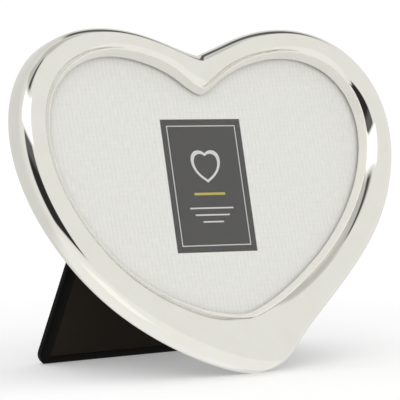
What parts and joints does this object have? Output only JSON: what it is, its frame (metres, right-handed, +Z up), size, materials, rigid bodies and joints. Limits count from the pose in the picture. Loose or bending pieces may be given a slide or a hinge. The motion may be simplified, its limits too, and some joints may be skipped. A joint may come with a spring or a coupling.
{
  "type": "heart shaped photo frame",
  "caption": "Polished metal heart shaped photo frame with a domed band, glass front and hinged back strut, standing on its tip.",
  "frame": {"origin": "on the floor under the middle of the standing frame's outline, at rest with the strut open", "axes": "+X along the heart's width, to the right seen from the front; -Y the way the glass faces; +Z up"},
  "size_m": [0.1629, 0.0747, 0.1278],
  "materials": {
    "silver_plate": "polished silver plate",
    "clear_glass": "clear, polished",
    "printed_card": "pale grey printed card with a dark centre panel",
    "plain_card": "plain grey card",
    "hardboard": "brown hardboard",
    "black_cloth": "matte black cloth paper",
    "black_leathercloth": "smooth black leathercloth",
    "strut_lining": "matte dark lining paper",
    "plated_steel": "bright nickel plate"
  },
  "bodies": {
    "frame": {"front_frame": "silver_plate", "glass_pane": "clear_glass", "insert_card": "printed_card", "filler_card": "plain_card", "back_board": "hardboard", "back_cover": "black_cloth", "hinge_leaf_upper": "plated_steel", "hinge_pin": "plated_steel", "hinge_rivets_upper": "plated_steel", "button_screws": "plated_steel"},
    "strut": {"strut_board": "hardboard", "strut_wrap": "black_leathercloth", "strut_liner": "strut_lining", "hinge_leaf_lower": "plated_steel", "hinge_rivets_lower": "plated_steel"},
    "button_upper_left": {"turn_button_upper_left": "plated_steel"},
    "button_lower_left": {"turn_button_lower_left": "plated_steel"},
    "button_upper_right": {"turn_button_upper_right": "plated_steel"},
    "button_lower_right": {"turn_button_lower_right": "plated_steel"}
  },
  "joints": [
    {"name": "strut_hinge", "type": "hinge", "parent": "frame", "child": "strut", "pos_m": [0, 0.00388, 0.08864], "axis": [-1, 0, 0], "range_deg": [0, 37.9]},
    {"name": "button_upper_left_turn", "type": "hinge", "parent": "frame", "child": "button_upper_left", "pos_m": [-0.06303, 0.00941, 0.11422], "axis": [0, -0.9516, 0.3074], "range_deg": [-90, 90]},
    {"name": "button_lower_left_turn", "type": "hinge", "parent": "frame", "child": "button_lower_left", "pos_m": [-0.06288, -0.01146, 0.04961], "axis": [0, -0.9516, 0.3074], "range_deg": [-90, 90]},
    {"name": "button_upper_right_turn", "type": "hinge", "parent": "frame", "child": "button_upper_right", "pos_m": [0.06239, 0.00835, 0.11093], "axis": [0, -0.9516, 0.3074], "range_deg": [-90, 90]},
    {"name": "button_lower_right_turn", "type": "hinge", "parent": "frame", "child": "button_lower_right", "pos_m": [0.06433, -0.01038, 0.05297], "axis": [0, -0.9516, 0.3074], "range_deg": [-90, 90]}
  ]
}
